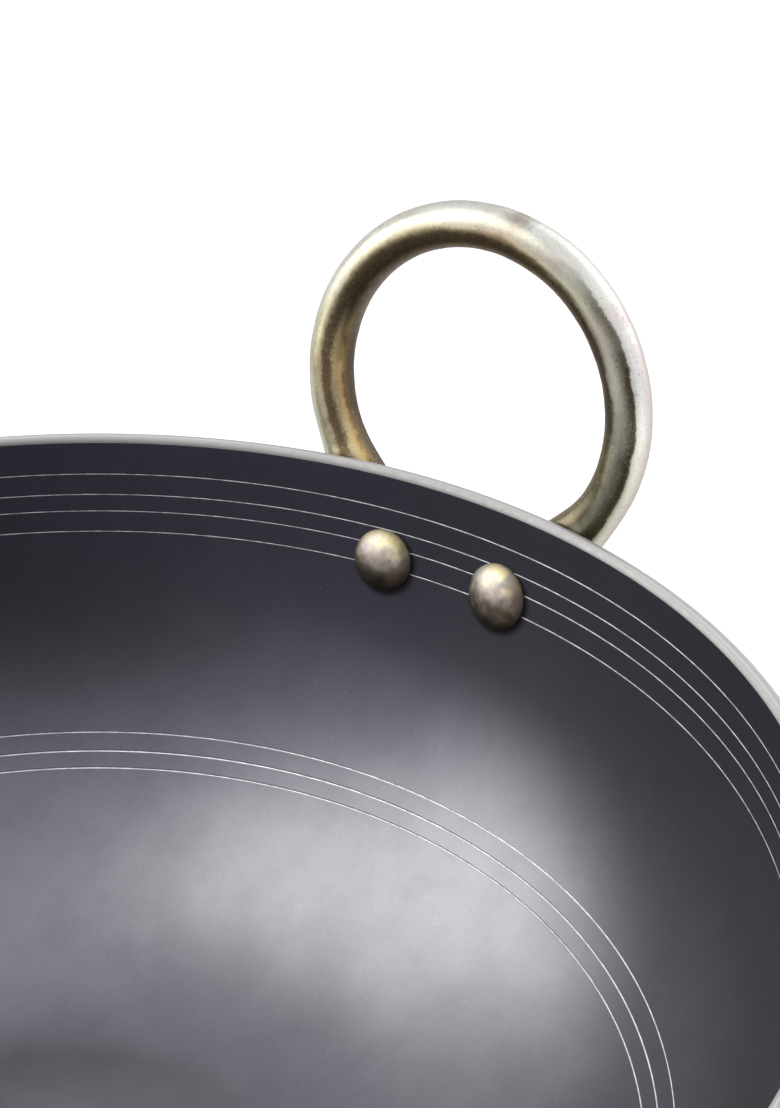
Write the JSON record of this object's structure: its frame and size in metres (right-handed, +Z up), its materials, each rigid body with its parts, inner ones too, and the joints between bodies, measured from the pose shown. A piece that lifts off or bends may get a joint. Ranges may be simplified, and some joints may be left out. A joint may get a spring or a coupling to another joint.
{
  "type": "kadai",
  "caption": "Round flat-based kadai in dark anodised aluminium with a bare rolled-smooth rim and upright riveted steel ring handles.",
  "frame": {"origin": "middle of the flat underside of the bowl, on the surface it stands on", "axes": "+Z up along the bowl's axis, +X through the middle of the right handle, +Y towards the rear"},
  "size_m": [0.2756, 0.2452, 0.1285],
  "materials": {
    "anodised_bowl": "hard-anodised satin dark grey, bare machined aluminium on the rim and in the turned grooves",
    "plated_handle": "zinc plated steel rod with a yellowish passivation, smooth with small forging marks",
    "plated_rivet": "zinc plated steel, tumbled, with a yellowish passivation"
  },
  "bodies": {
    "root": {"kadai_body": "anodised_bowl", "handle_right": "plated_handle", "handle_left": "plated_handle", "rivet_right_front": "plated_rivet", "rivet_right_rear": "plated_rivet", "rivet_left_front": "plated_rivet", "rivet_left_rear": "plated_rivet"}
  },
  "joints": []
}
